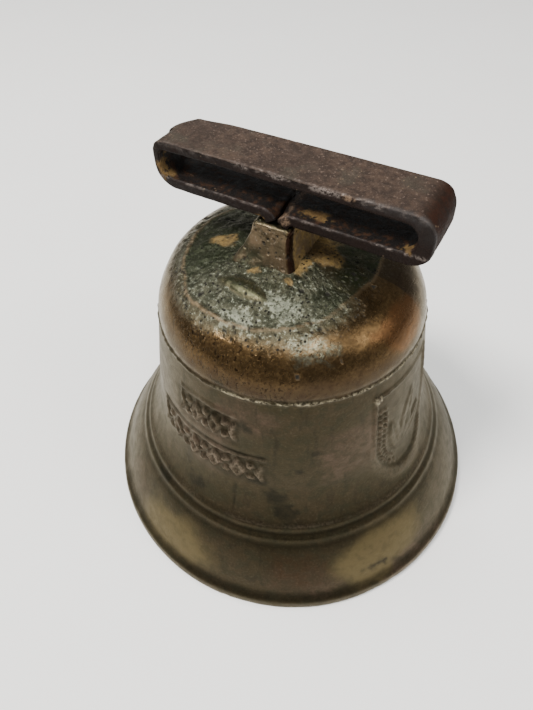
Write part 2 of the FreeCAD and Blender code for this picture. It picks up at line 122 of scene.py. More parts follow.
def arc_points(start, end, radius, spacing):
    """Points after start up to end, in mm: straight for radius 0, else an arc.

    Walking with the metal on the right, a positive radius bulges out of it and a negative one is hollow.
    """
    start, end = np.array(start, float), np.array(end, float)
    chord = end - start
    length = np.hypot(*chord)
    count = max(2, math.ceil(length / spacing))
    part = np.linspace(0, 1, count + 1)[1:, None]
    if radius == 0:
        return start + chord * part
    outward = np.array([-chord[1], chord[0]]) / length
    centre = (start + end) / 2 - outward * math.copysign(math.sqrt(radius ** 2 - length ** 2 / 4), radius)
    first = math.atan2(*(start - centre)[::-1])
    turn = math.atan2(*(end - centre)[::-1]) - first
    turn = (turn + math.pi) % (2 * math.pi) - math.pi
    angle = first + turn * part
    return centre + abs(radius) * np.hstack([np.cos(angle), np.sin(angle)])


def walk(start, legs):
    """The line through all legs, each (end, radius, spacing), with its outward normals."""
    points = [np.array([start], float)]
    for end, radius, spacing in legs:
        points.append(arc_points(points[-1][-1], end, radius, spacing))
    line = np.vstack(points)
    along = np.gradient(line, axis=0)
    normal = np.stack([-along[:, 1], along[:, 0]], 1)
    return line, normal / np.linalg.norm(normal, axis=1)[:, None]


def grid_faces(rows, columns):
    """Quads of a grid whose columns close round, as vertex numbers; rows stay open."""
    row = np.arange(rows - 1)[:, None] * columns
    column = np.arange(columns)[None, :]
    after = (column + 1) % columns
    corners = (row + column, row + columns + column, row + columns + after, row + after)
    return np.stack(corners, -1).reshape(-1, 4)


def cap_faces(centre, ring, turned):
    """Triangles from one vertex to a closed ring of vertices."""
    after = np.roll(ring, -1)
    pair = (after, ring) if turned else (ring, after)
    return np.stack([np.full(len(ring), centre), pair[0], pair[1]], -1)


def close_ends(p, columns, masks):
    """The points with one more in the middle of each end ring, and the triangles there; masks grow too."""
    first = np.arange(columns)
    last = np.arange(len(p) - columns, len(p))
    for name, values in masks.items():
        masks[name] = np.append(values, [values[0], values[-1]])
    triangles = np.vstack([cap_faces(len(p), first, False), cap_faces(len(p) + 1, last, True)])
    return np.vstack([p, p[first].mean(0), p[last].mean(0)]), triangles


def make_object(name, parts, masks):
    """One smooth-shaded mesh object from parts, each (points in mm, quads, triangles)."""
    points, faces, start = [], [], 0
    for part_points, quads, triangles in parts:
        points.append(part_points)
        faces.extend((quads + start).tolist())
        faces.extend((triangles + start).tolist())
        start += len(part_points)
    mesh = bpy.data.meshes.new(name)
    mesh.from_pydata((np.vstack(points) * MM).tolist(), [], faces)
    for mask, values in masks.items():
        attribute = mesh.attributes.new(mask, "FLOAT", "POINT")
        attribute.data.foreach_set("value", np.clip(values, 0, 1).astype(np.float32))
    mesh.validate()
    mesh.shade_smooth()
    made = bpy.data.objects.new(name, mesh)
    bpy.context.scene.collection.objects.link(made)
    return made


# ------------------------------------------------------------ the bell's body

CROWN_TOP = 88.3
SHOULDER = 71.6
POLE_RADIUS = 1.0
WIDEST_RADIUS = 59.98
BELL_COLUMNS = 456
# Legs of the wall's section, down outside and up inside: end, arc radius, point spacing.
OUTER_LEGS = [
    ((26.4, 83.9), 80, 0.54),
    ((34.8, SHOULDER), 15, 0.54),
    ((34.9, 70.2), 0, 0.35),
    ((40, 38.2), 420, 0.68),
    ((45.4, 26.2), -34, 0.9),
    ((49.6, 20.4), 0, 0.48),
    ((56.9, 7), 70, 1.4),
    ((59.4, 3.9), -8, 0.7),
    ((60, 1.2), 9, 0.9),
    ((58.7, 0), 1.5, 0.5),
]
INNER_LEGS = [
    ((55, 0), 0, 1.3),
    ((44, 17), 90, 2.5),
    ((35.9, 38), 70, 2.5),
    ((30.4, 71.5), 0, 3.6),
    ((22.5, 80.6), -11, 1.5),
    ((POLE_RADIUS, 82.3), -80, 2.6),
]
RING_HEIGHTS = (23.0, 25.8)


def bell_surface():
    """Points, normals, azimuths in degrees, outside flags and grid shape of the wall before any relief."""
    start = (POLE_RADIUS, CROWN_TOP)
    line, normal = walk(start, OUTER_LEGS + INNER_LEGS)
    outer_rows = len(walk(start, OUTER_LEGS)[0])
    angle = np.arange(BELL_COLUMNS) / BELL_COLUMNS * 2 * math.pi
    cos, sin = np.cos(angle), np.sin(angle)
    shape = (len(line), BELL_COLUMNS)
    points = np.stack([line[:, :1] * cos, line[:, :1] * sin, np.broadcast_to(line[:, 1:], shape)], -1)
    normals = np.stack([normal[:, :1] * cos, normal[:, :1] * sin, np.broadcast_to(normal[:, 1:], shape)], -1)
    outside = np.broadcast_to((np.arange(len(line)) < outer_rows)[:, None], shape)
    azimuth = np.broadcast_to(np.degrees(np.arctan2(sin, cos)), shape)
    return points.reshape(-1, 3), normals.reshape(-1, 3), azimuth.reshape(-1), outside.reshape(-1), shape


def turn_between(azimuth, middle):
    """Signed degrees from the middle azimuth."""
    return (azimuth - middle + 180) % 360 - 180


def crease_radius(azimuth):
    """Where the rough top of the crown ends, as a radius for each azimuth."""
    away = np.radians(azimuth + 125)
    return 23.4 + 2.6 * np.cos(away) + 1.6 * np.cos(2 * away) - 0.7 * np.cos(3 * away)


# Place and size of the densest pits.
PIT_CLUSTER = ((18.0, -24.3, 81.3), (6.5, 3.6, 4.0))


def crown_relief(p, azimuth, masks):
    """Sand-rough crown inside a fine crease, with pits, a raised tongue and lumps."""
    radius = np.hypot(p[:, 0], p[:, 1])
    height = p[:, 2]
    wander = 0.6 * noise(p, 5.0, 31) + 0.25 * noise(p, 1.6, 32)
    past = radius - crease_radius(azimuth) - wander
    top = step(height, 79.5, 82.0)
    inside = step(past, 0.3, -0.5) * top
    reach = 6.0 + 2.5 * noise(p, 9.0, 33) - 2.6 * step(np.abs(turn_between(azimuth, -98)), 26, 10)
    skirt = step(past, -0.5, 0.4) * step(past, reach, 0.8) * top
    clear = step(azimuth, -32, -12) * step(azimuth, 140, 60)
    rough = inside * (1 - 0.45 * clear) + 0.85 * skirt * (1 - 0.85 * clear)
    lumps = 0.20 * fractal(p, 4.5, 2, 35) + 0.24 * fractal(p, 1.5, 3, 37)
    strength = 0.55 + 0.45 * step(noise(p, 9.0, 41), -0.5, 0.3)
    crease = (0.18 * bump(past, 0, 0.8) - 0.22 * bump(past, -1.1, 0.9)) * strength * top
    tongue = tongue_height(p)
    edge_zone = bump(past, 0.8, 5.5) * top * (1 - 0.8 * clear)
    pit_zone = strongest(edge_zone, 0.7 * inside, spot(p, *PIT_CLUSTER, 47))
    pits = np.maximum(dents(p, 0.95, 0.48, 51), dents(p, 1.9, 0.18, 57)) * pit_zone
    pits = pits * step(noise(p, 3.2, 43), -0.35, 0.15)
    rare = dents(p, 1.9, 0.05, 61) * step(height, 73, 76) * (1 - inside)
    masks["rough"] = rough * (1 - 0.6 * step(tongue, 0.15, 0.5))
    masks["crease"] = bump(past, 0.05, 0.55) * top * strength
    masks["crease_dark"] = bump(past, -0.85, 0.7) * top * strength
    masks["pit"] = np.maximum(step(pits, 0.13, 0.40), step(rare, 0.2, 0.5))
    masks["pitted"] = np.clip(0.9 * edge_zone + 0.4 * inside + 0.12 * step(height, 74, 80), 0, 1)
    masks["tongue"] = step(tongue, 0.12, 0.4) * inside
    masks["inside"] = inside
    return lumps * rough * (1 - 0.7 * masks["tongue"]) + crease + 0.95 * tongue - 0.45 * pits - 0.3 * rare


def tongue_height(p):
    """A long raised lens left on the crown by the mould, sharp on its low side."""
    x, y = p[:, 0] + 3.2, p[:, 1] + 17.6
    along = 0.99 * x - 0.12 * y
    across = 0.12 * x + 0.99 * y
    reach = np.clip(1 - (along / 8.2) ** 2, 0, 1)
    side = np.where(across > 0, 1 - across / (2.6 * reach + 0.1), 1 + across / (1.5 * reach + 0.1))
    return np.clip(side, 0, 1) ** 0.6 * reach * step(p[:, 2], 80, 82)


def ring_relief(p, masks):
    """Two soft moulded rings above the sound bow, with a painted highlight along the upper ring's top edge,
    and the ragged ledge under the shoulder, pale and with a painted highlight on its front-right stretch.
    """
    radius = np.hypot(p[:, 0], p[:, 1])
    height = p[:, 2] + 0.12 * noise(p, 14.0, 70)
    on_slope = step(radius, 42.5, 44.0) * step(radius, 51.5, 50.0)
    wear_and_sheen = 0.23 + 0.07 * noise(p, 6.0, 71)
    rings = sum(bump(height, ring, 1.15) for ring in RING_HEIGHTS)
    grooves = bump(height, 24.5, 0.8) + 0.7 * bump(height, 21.3, 1.4)
    # Painted highlight along the upper ring's top edge, broken up by noise.
    masks["ring"] = bump(height, RING_HEIGHTS[1] + 0.6, 0.6) * step(noise(p, 9.0, 74), -0.6, 0.5) * on_slope
    masks["ring_groove"] = np.clip(grooves, 0, 1) * on_slope
    ledge_height = 70.9 + 0.25 * noise(p, 6.0, 75)
    ragged = np.clip(0.5 + 0.65 * fractal(p, 1.1, 2, 73), 0.0, 1.1)
    on_waist = step(radius, 33, 34.5)
    ledge = bump(p[:, 2] + 0.12 * noise(p, 1.3, 76), ledge_height, 0.66) * on_waist
    groove = bump(p[:, 2], ledge_height + 0.9, 0.7) * on_waist
    azimuth = np.degrees(np.arctan2(p[:, 1], p[:, 0]))
    turned = turn_between(azimuth, -30)
    bright = step(turned, -66, -56) * step(turned, 120, 60)
    # Pale ragged ledge, faint all round and strong on its front-right stretch, where it is painted highlight.
    masks["cream_and_sheen"] = ledge * step(ragged, 0.0, 0.45) * (0.10 + 0.90 * bright)
    masks["ledge_groove"] = groove
    return (wear_and_sheen * rings - 0.10 * grooves) * on_slope + 0.42 * ledge * (0.35 + 0.65 * ragged) - 0.16 * groove


def motif_row(across, up, pitch, half_height, half_length):
    """A row of hollow lozenges with two pearls between each pair, 0 to 1."""
    cell = across / pitch
    local = np.abs((cell - np.floor(cell)) * 2 - 1)
    high = np.abs(up) / half_height
    from_centre = local / 0.74 + high
    lozenge = step(from_centre, 1.0, 0.84) * (0.25 + 0.75 * step(from_centre, 0.36, 0.54))
    from_pearl = np.hypot((local - 1.0) * pitch / 2, (high - 0.55) * half_height)
    pearls = step(from_pearl, 1.25, 0.75)
    ends = step(np.abs(across), half_length + 0.2, half_length - 0.2)
    return np.maximum(lozenge, pearls) * ends


FRIEZE_AZIMUTH = -97
MEDALLION_AZIMUTH = -9
MEDALLION_MIDDLE = 48.0
WAIST_RADIUS = 38.0
# Tilt in degrees, length and width of each leaf.
LEAVES = ((-14, 17.0, 2.6), (16, 23.0, 3.0), (46, 17.0, 2.6))


def frieze_relief(p, azimuth, masks):
    """Worn ornament on the waist: two rows of lozenges and pearls, each under a fillet."""
    across = np.radians(turn_between(azimuth, FRIEZE_AZIMUTH)) * WAIST_RADIUS
    up = p[:, 2] + 0.2 * noise(p, 6.0, 82)
    upper = motif_row(across - 0.3, up - 58.6, 6.0, 3.9, 9.0)
    lower = motif_row(across + 0.4, up - 44.3, 6.8, 4.5, 17.0)
    upper_fillet = bump(up, 63.8, 0.7) * step(np.abs(across - 0.3), 10.0, 9.0)
    lower_fillet = bump(up, 50.0, 0.8) * step(np.abs(across + 0.4), 18.0, 17.0)
    raised = strongest(upper, lower, 0.75 * upper_fillet, 0.75 * lower_fillet)
    wear_and_sheen = np.clip(0.72 + 0.45 * noise(p, 6.5, 83) + 0.18 * noise(p, 1.6, 84), 0.25, 1.0)
    near_upper = step(np.abs(across - 0.3), 11.0, 9.4) * step(np.abs(up - 58.9), 6.0, 4.4)
    near_lower = step(np.abs(across + 0.4), 19.0, 17.4) * step(np.abs(up - 45.2), 7.6, 5.2)
    ground = np.maximum(near_upper, near_lower) * (1 - raised)
    # Worn tops of the ornament, stronger toward the right: wear and painted highlight.
    masks["relief"] = raised * wear_and_sheen * (0.35 + 0.65 * step(noise(p, 7.0, 85) + 0.05 * across, -0.3, 0.5))
    masks["frieze_ground"] = ground
    masks["shade_line"] = bump(up, 51.1, 0.7) * step(np.abs(across + 0.4), 18.0, 16.5)
    return 0.85 * raised * wear_and_sheen - 0.12 * ground


def leaf(across, up, tilt, length, width):
    """A pointed leaf with a sunk vein, rising from its foot at a tilt in degrees, 0 to 1."""
    turn = math.radians(tilt)
    along = across * math.sin(turn) + up * math.cos(turn)
    side = np.abs(across * math.cos(turn) - up * math.sin(turn))
    reach = width * np.clip(1 - np.abs(2 * along / length - 1) ** 2.4, 0, 1)
    return step(side, reach + 0.05, reach - 0.7) * (0.4 + 0.6 * step(side, 0.1, 0.6))


def medallion_relief(p, azimuth, masks):
    """Shield-shaped medallion: a soft outer rim, beads down its left side, three leaves and a corner chip."""
    turned = turn_between(azimuth, MEDALLION_AZIMUTH)
    across = np.radians(turned) * 38.6
    up = p[:, 2] - MEDALLION_MIDDLE
    facing = step(np.abs(turned), 45, 40)
    below = np.minimum(up + 2.0, 0)
    oval = np.hypot(across / 12.2, below / 14.5)
    from_border = np.maximum((oval - 1) * 13.0, up - 17.0)
    halo = bump(from_border, 1.6, 2.2) * step(up, 6.0, -4.0)
    line = bump(from_border, 0.5, 0.8)
    along = np.where(up > -2, up + 2, -13.3 * np.arctan2(-below / 14.5, np.abs(across) / 12.2))
    squares = step(np.sin(along * 2 * math.pi / 2.2), -0.35, 0.35)
    columns = np.maximum(bump(from_border, -1.7, 0.95), bump(from_border, -3.6, 0.95))
    beads = columns * squares * step(across, -2.0, -6.0) * step(up, 13.0, 11.0)
    leaves = strongest(*[leaf(across + 2.5, up + 11.0, *shape) for shape in LEAVES])
    chip = step(np.hypot(across + 11.8, up - 16.9), 1.5, 0.9) * facing
    inside = step(from_border, 0.0, -0.6)
    wear_and_sheen = np.clip(0.75 + 0.35 * noise(p, 5.0, 93) + 0.2 * noise(p, 1.5, 94), 0.15, 1.0)
    raised = strongest(0.55 * halo, 0.8 * line, beads, 0.75 * leaves * inside) * wear_and_sheen * facing
    masks["medallion"] = np.maximum(chip, strongest(0.9 * beads, 0.45 * line, 0.35 * halo) * wear_and_sheen * facing)
    masks["cream_and_sheen"] = np.maximum(masks["cream_and_sheen"], 0.9 * chip)
    masks["medallion_ground"] = inside * (1 - np.clip(raised * 1.5, 0, 1)) * facing
    return 0.75 * np.maximum(raised, chip) - 0.25 * inside * facing


def bell_relief(p, azimuth, outside, masks):
    """All relief of the bell's wall along its normal, in mm, and the masks its material reads."""
    radius = np.hypot(p[:, 0], p[:, 1])
    height = p[:, 2]
    shape = crown_relief(p, azimuth, masks)
    shape += ring_relief(p, masks)
    shape += frieze_relief(p, azimuth, masks)
    shape += medallion_relief(p, azimuth, masks)
    seam_shift = turn_between(azimuth, -68) * np.radians(WAIST_RADIUS) + 0.9 * noise(p, 11.0, 95)
    crack_shift = turn_between(azimuth, -82.5) * np.radians(42.0) + 0.7 * noise(p, 7.0, 96)
    seam = bump(seam_shift, 0, 0.7) * step(height, 36, 42) * step(height, 70.5, 66)
    crack = bump(crack_shift, 0, 0.6) * step(height, 27, 29) * step(height, 38, 36)
    masks["crack"] = np.maximum(0.5 * seam * step(noise(p, 8.0, 97), -0.4, 0.2), crack)
    shape -= 0.10 * masks["crack"]
    shape += 0.12 * noise(p, 17.0, 101) + 0.05 * noise(p, 5.0, 102) - 0.03
    shape += 0.02 * fractal(p, 1.6, 2, 103)
    shape += 0.65 * step(height, 77, 82) * step(np.abs(turn_between(azimuth, 170)), 50, 20)
    lip = step(height, 7.0, 4.0) * step(radius, 55.0, 57.5)
    nick = dents(p, 5.5, 0.22, 111) * lip
    shape -= 0.18 * nick + lip * (0.05 + 0.05 * noise(p, 9.0, 113))
    for name in masks:
        masks[name] = masks[name] * outside
    cavity = 0.22 * noise(p, 9.0, 121) + 0.16 * fractal(p, 2.6, 2, 123)
    return np.where(outside, shape, cavity * step(height, 0.0, 3.0))


def spot(p, place, size, seed, ragged=0.35):
    """A patch round a place: 1 in its middle, 0 outside, with a ragged edge."""
    away = np.sqrt((((p - np.array(place)) / np.array(size)) ** 2).sum(1))
    return step(away + ragged * fractal(p, max(size) * 0.6, 3, seed), 1.05, 0.55)


# Stains, worn places, painted highlights and painted reflections by mask: seed, raggedness, then each place
# and its reach along X, Y and Z.
STAINS_AND_PAINTED_LIGHT = {
    "ochre": (131, 0.55, (
        ((7.6, 0.5, 87.8), (6.6, 6, 4)),
        ((5.2, -5.5, 87.6), (2.6, 3.6, 2.5)),
        ((-16, -5.6, 86.5), (4.6, 2.2, 2.5)),
        ((5.3, -11.6, 87.2), (1.2, 1.2, 1.5)),
        ((-3.6, -11.6, 87.2), (1.6, 1.1, 1.5)),
        ((-9.6, -9.8, 87), (0.9, 1.3, 1.5)),
    )),
    "dark": (191, 0.5, (
        ((7.4, -35.8, 61.3), (2.2, 2.5, 1.9)),
        ((23.2, -30.1, 53), (1.4, 2, 1.3)),
        ((20.4, -33, 46.1), (1.6, 2, 1.4)),
        ((-19.5, -43.5, 23.5), (3.6, 3, 3.4)),
        ((-7.5, -42.3, 30.3), (3.4, 3, 2.8)),
        ((-11.5, -40, 35.5), (2.2, 2, 3.6)),
        ((10.4, -38.4, 40.4), (4.2, 3, 1.5)),
        ((15.5, -37.5, 35.6), (3.4, 3, 3)),
        ((19.5, -38.6, 29.6), (3.4, 3.4, 3.6)),
        ((-0.8, -34.6, 72.9), (2.6, 2.5, 1)),
        ((45.5, -31.5, 9.5), (4, 4, 1.2)),
    )),
    # Golden patches on the sound bow to either side of the front are painted reflections of bright
    # surroundings, in a brassy tone.
    "brass_reflection": (271, 0.22, (
        ((-12, -52.5, 11), (22, 12, 9.5)),
        ((46, -26, 14), (17, 20, 9)),
        ((45, -33, 9), (10, 9, 7)),
        ((-52, 8, 12), (14, 20, 9)),
        ((10, 53, 12), (20, 14, 9)),
    )),
    "pink": (331, 0.3, (
        ((-6, -37, 48), (13, 10, 15)),
        ((6, -37, 64), (9, 10, 7)),
        ((29, -24, 50), (10, 12, 13)),
        ((30, -47, 10), (15, 12, 7)),
        ((54, -20, 4), (9, 22, 5)),
        ((-34, 20, 50), (12, 14, 14)),
        ((10, 37, 48), (14, 10, 12)),
    )),
    # The pale mint patches on the crown and at the dome's edge are painted highlight with a mint tint.
    "mint_highlight": (381, 0.75, (
        ((1, -24.6, 84.6), (10, 3.6, 3.5)),
        ((16.2, -22.9, 83), (6.5, 4.2, 3.5)),
        ((8, -17.5, 86.2), (6.5, 3.6, 3)),
    )),
    "hair": (461, 0.5, (
        ((0, -30, 77.5), (22, 9, 9.5)),
    )),
    # The coppery patch on the dome's right side is a painted reflection.
    "copper_reflection": (441, 0.3, (
        ((31.5, -4, 80), (7, 11, 6)),
    )),
    "umber": (451, 0.3, (
        ((27, -46, 12), (13, 9, 9)),
        ((-30, -45, 12), (10, 10, 9)),
    )),
}


def patches(p, places, seed, ragged):
    """The strongest of several spots at each point."""
    return np.max([spot(p, *place, seed + 7 * number, ragged) for number, place in enumerate(places)], 0)


def bell_stains_and_painted_light(p, azimuth, outside, masks):
    """Stains, worn places and painted light and shade of the bell, from where they lie."""
    height = p[:, 2]
    for name, (seed, ragged, places) in STAINS_AND_PAINTED_LIGHT.items():
        masks[name] = outside * patches(p, places, seed, ragged)
    masks["hair"] = outside * (0.25 + 0.75 * masks["hair"])
    masks["dome"] = outside * step(height + 0.5 * noise(p, 5.0, 301), 71.0, 72.2)
    # Darker low on the dome and outside its front arc; the darkening on the left side is painted shade.
    masks["dome_low"] = outside * np.maximum(
        step(height + 1.5 * noise(p, 7.0, 305), 79.5, 73.5), step(turn_between(azimuth, -175), 48, 20))
    green_side = step(azimuth, -55, -25) * step(azimuth, 150, 40)
    behind_left = step(np.abs(turn_between(azimuth, -165)), 38, 22)
    green_side = green_side * step(noise(p, 8.0, 303), -0.6, 0.2)
    masks["green"] = masks["inside"] * np.maximum(green_side, 0.9 * behind_left)
    masks["cavity"] = 1.0 - outside
    lip_groove = bump(height, 5.4, 1.5) * outside
    # Darker in the ring grooves, the ledge groove, round the frieze and medallion, in the lip groove, along
    # crack and seam and just inside the crown's crease; the line just above the lower frieze fillet is
    # painted shadow.
    masks["grime_and_shade"] = np.clip(
        0.65 * masks["ring_groove"] + 0.5 * masks["ledge_groove"] + 0.55 * masks["frieze_ground"]
        + 0.9 * masks["shade_line"] + 0.28 * masks["medallion_ground"] + 0.55 * lip_groove
        + 0.8 * masks["crack"] + 0.8 * masks["crease_dark"], 0, 1)
    # Pale worn metal on the upper ring's top edge, the frieze tops and the medallion; on the ring edge and
    # the frieze tops it is painted highlight as well as wear.
    masks["wear_and_sheen"] = np.clip(0.35 * masks["ring"] + 0.9 * masks["relief"] + 0.75 * masks["medallion"], 0, 1)


# ------------------------------------------------------------ the cast lug

# Height, half width, half depth, shift along X and corner radius of the lug at three levels.
LUG_LEVELS = (
    (84.6, 9.7, 11.7, -2.6, 2.6),
    (89.6, 6.6, 9, -2.4, 1.2),
    (97.2, 4.9, 7.5, -1.3, 1),
)
LUG_TOP_ROUND = 0.9


def lug_section(height):
    """Half width, half depth, shift and corner radius of the lug at a height, on a smooth curve."""
    heights, *measures = zip(*LUG_LEVELS)
    return [np.polyval(np.polyfit(heights, measure, 2), height) for measure in measures]


def rounded_ring(half_width, half_depth, corner, count):
    """Points and normals evenly spread round a rectangle with round corners."""
    straight_x, straight_y = half_width - corner, half_depth - corner
    quarter = corner * math.pi / 2
    legs = [2 * straight_y, quarter, 2 * straight_x, quarter] * 2
    centres = ((1, -1), (1, 1), (-1, 1), (-1, -1))
    place = np.arange(count) / count * sum(legs)
    points, normals = np.zeros((count, 2)), np.zeros((count, 2))
    start = 0.0
    for number, leg in enumerate(legs):
        here = (place >= start) & (place < start + leg)
        part = (place[here] - start) / max(leg, 1e-9)
        side = number // 2
        if number % 2 == 0:
            facing = side * math.pi / 2
            out = np.array([math.cos(facing), math.sin(facing)])
            begin = np.array(centres[side]) * (straight_x, straight_y) + out * corner
            finish = np.array(centres[(side + 1) % 4]) * (straight_x, straight_y) + out * corner
            points[here] = begin + (finish - begin) * part[:, None]
            normals[here] = out
        else:
            facing = side * math.pi / 2 + part * math.pi / 2
            out = np.stack([np.cos(facing), np.sin(facing)], 1)
            points[here] = np.array(centres[(side + 1) % 4]) * (straight_x, straight_y) + corner * out
            normals[here] = out
        start += leg
    return points, normals


def lug_part(columns=168, rows=52, cap_rows=14):
    """Rough cast lug with rounded top edges, as one part of the bell's mesh, with its masks."""
    top = LUG_LEVELS[-1][0]
    low = LUG_LEVELS[0][0]
    rings, outs = [], []
    for number in range(rows):
        height = low + (top - low) * number / (rows - 1)
        half_width, half_depth, shift, corner = lug_section(height)
        left = max(0.0, height - (top - LUG_TOP_ROUND))
        inset = LUG_TOP_ROUND - math.sqrt(max(0.0, LUG_TOP_ROUND ** 2 - left ** 2))
        sharper = max(corner - inset, 0.35)
        points, normals = rounded_ring(half_width - inset, half_depth - inset, sharper, columns)
        rings.append(np.column_stack([points[:, 0] + shift, points[:, 1], np.full(columns, height)]))
        outs.append(np.column_stack([normals, np.full(columns, 0.9 * (inset > 0))]))
    half_width, half_depth, shift, corner = lug_section(top)
    for number in range(1, cap_rows + 1):
        inset = LUG_TOP_ROUND + number * (half_width - LUG_TOP_ROUND - 0.4) / cap_rows
        points, normals = rounded_ring(half_width - inset, half_depth - inset, 0.3, columns)
        rings.append(np.column_stack([points[:, 0] + shift, points[:, 1], np.full(columns, top)]))
        outs.append(np.tile([0.0, 0.0, 1.0], (columns, 1)))
    p = np.vstack(rings)
    normal = np.vstack(outs)
    normal = normal / np.linalg.norm(normal, axis=1)[:, None]
    face = step(p[:, 1], -6.5, -7.5)
    pits = dents(p, 1.15, 0.28, 401)
    depth = 0.16 * fractal(p, 2.4, 3, 403) + 0.16 * noise(p, 6.0, 405) - 0.42 * pits - 0.1
    p = p + normal * depth[:, None]
    x, y, z = p.T  # views of p, so they follow its changes
    p[:, 1] -= 0.9 * step(z, 91.0, 86.5) * step(y, -4.0, -8.0) * step(x, 1.0, -6.0)
    p[:, 2] = np.minimum(z, top)
    half_width, half_depth, shift, corner = lug_section(z)
    past_right = x - shift - half_width
    past_front = y + half_depth + 0.3 * noise(p, 2.0, 417)
    corner_strip = step(past_front, 2.8, 2.0) * step(past_right, -1.0, -0.7)
    right_side = step(past_right, -1.2, -0.5) * (1 - corner_strip)
    masks = {
        "lug": np.ones(len(p)),
        "pit": step(pits, 0.25, 0.6),
        "pitted": 0.45 * face,
        # Pale along the top edge and down the right edge of the face: painted highlight as well as wear.
        "wear_and_sheen": step(fractal(p, 1.6, 2, 407), -0.1, 0.5) * face * np.maximum(
            bump(z, top - 1.3, 0.9), 0.8 * bump(x, 2.9, 0.6) * step(z, 87.5, 89.0)),
        "green": np.maximum(bump(z, top - 0.1, 0.8),
                            face * step(z + 0.5 * x + 0.8 * noise(p, 3.0, 415), 90.0, 86.5)),
        "ochre": right_side * step(fractal(p, 4.0, 3, 411), -1.2, -0.5),
        # The dark red strip down the front-right corner is painted shade; the spots on the face are rust.
        "rust_and_shade": corner_strip + 0.2 * face * step(noise(p, 3.0, 413), 0.1, 0.6),
        "rough": 0.30 * step(z, 90, 88) + 0.15,
    }
    ring = np.arange(len(p) - columns, len(p))
    centre = p[ring].mean(0)
    quads = grid_faces(rows + cap_rows, columns)[:, ::-1]
    p = np.vstack([p, centre])
    for name in masks:
        masks[name] = np.append(masks[name], masks[name][-1])
    return p, quads, cap_faces(len(p) - 1, ring, False), masks


# The masks that the bronze reads.
BELL_MASKS = ("rough", "crease", "pit", "pitted", "tongue", "ochre", "dark", "brass_reflection", "pink", "mint_highlight", "cream_and_sheen",
              "dome", "dome_low", "green", "cavity", "grime_and_shade", "wear_and_sheen", "lug", "rust_and_shade", "copper_reflection", "umber",
              "hair")


def make_bell():
    """The bronze casting: wall, relief and lug in one mesh."""
    p, normal, azimuth, outside, shape = bell_surface()
    outside = outside.astype(float)
    masks = {}
    depth = bell_relief(p, azimuth, outside > 0.5, masks)
    bell_stains_and_painted_light(p, azimuth, outside, masks)
    p = p + normal * depth[:, None]
    radius = np.maximum(np.hypot(p[:, 0], p[:, 1]), 1e-6)
    inward = np.minimum(1.0, WIDEST_RADIUS / radius)
    p[:, 0] *= inward
    p[:, 1] *= inward
    p[:, 2] = np.maximum(p[:, 2], 0.0)
    rows, columns = shape
    p, triangles = close_ends(p, columns, masks)
    lug_points, lug_quads, lug_triangles, lug_masks = lug_part()
    merged = {}
    for name in BELL_MASKS:
        on_wall = masks.get(name, np.zeros(len(p)))
        on_lug = lug_masks.get(name, np.zeros(len(lug_points)))
        merged[name] = np.concatenate([on_wall, on_lug])
    parts = [(p, grid_faces(rows, columns), triangles), (lug_points, lug_quads, lug_triangles)]
    bell = make_object("bronze_bell", parts, merged)
    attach(bell, "bell")
    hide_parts("bell_casting")
    return bell


# ------------------------------------------------------------ the forged strap loop

LOOP_TOP = 109.8
LOOP_LEFT = -32.7
LOOP_RIGHT = 33.6
LOOP_HALF_BAND = 6.8
TANG_HALF_WIDTH = 4.5
TANG_FOOT = 68.35
PIN_HEIGHT = 73.0
TANG_END_ROUND = 4.7
SEAM_SHIFT = -0.6
NOTCH_FOOT = 98.7
BACK_RISE = 0.45
# Legs of the bar's slot side, from the left tang round the slot to the right one: end, arc radius, spacing.
SLOT_SIDE = [
    ((-0.75, NOTCH_FOOT), 0, 0.9),
    ((-5.2, 100.9), 5, 0.4),
    ((-27.6, 100.9), 0, 0.6),
    ((-30.4, 103.7), -2.8, 0.35),
    ((-30.4, 106), 0, 0.4),
    ((-29.2, 107.2), -1.2, 0.25),
    ((26.9, 107.2), 0, 0.6),
    ((29.9, 104.2), -3, 0.35),
    ((29.9, 103.9), 0, 0.3),
    ((26.9, 100.9), -3, 0.35),
    ((4, 100.9), 0, 0.6),
    ((-0.45, NOTCH_FOOT), 5.0, 0.4),
    ((-0.45, TANG_FOOT), 0, 0.9),
]
# The same legs on the bar's outer side: end and arc radius.
OUTER_SIDE = [
    ((-3.35, 97), 0),
    ((-5.2, 98), -1.4),
    ((-27.3, 98), 0),
    ((LOOP_LEFT, 103.4), 5.4),
    ((LOOP_LEFT, 106.6), 0),
    ((-29.5, LOOP_TOP), 3.2),
    ((28.6, LOOP_TOP), 0),
    ((LOOP_RIGHT, 104.8), 5.0),
    ((LOOP_RIGHT, 102.2), 0),
    ((29.4, 98), 4.2),
    ((4, 98), 0),
    ((2.15, 97), -1.4),
    ((2.15, TANG_FOOT), 0),
]

LOOP_OCHRE = (
    ((-29.8, -5.4, 103), (2, 1.6, 3.4)),
    ((28.3, -5.6, 101.4), (1.6, 1.4, 0.9)),
    ((7.4, -3.6, 100.9), (3.6, 2.2, 1.4)),
    ((-4.6, -6.7, 98.4), (1, 0.6, 0.8)),
)
LOOP_TAN = (
    ((1.4, -5.8, 99.4), (1.6, 1.6, 1.8)),
    ((1.2, 0, 100.6), (1.3, 7, 0.9)),
    ((16, -6.9, 109.4), (5, 0.5, 0.9)),
)


def paired_lines():
    """The slot side and the outer side of the bar, station by station."""
    slot_line = [np.array([[-0.75, TANG_FOOT]])]
    outer_line = [np.array([[-3.35, TANG_FOOT]])]
    for (end, radius, spacing), (outer_end, outer_radius) in zip(SLOT_SIDE, OUTER_SIDE):
        leg = arc_points(slot_line[-1][-1], end, -radius if radius else 0, spacing)
        start = outer_line[-1][-1]
        reach = np.hypot(*(np.array(outer_end) - start))
        slot_line.append(leg)
        outer_line.append(arc_points(start, outer_end, outer_radius, reach / len(leg) * 1.0001))
    return np.vstack(slot_line), np.vstack(outer_line)


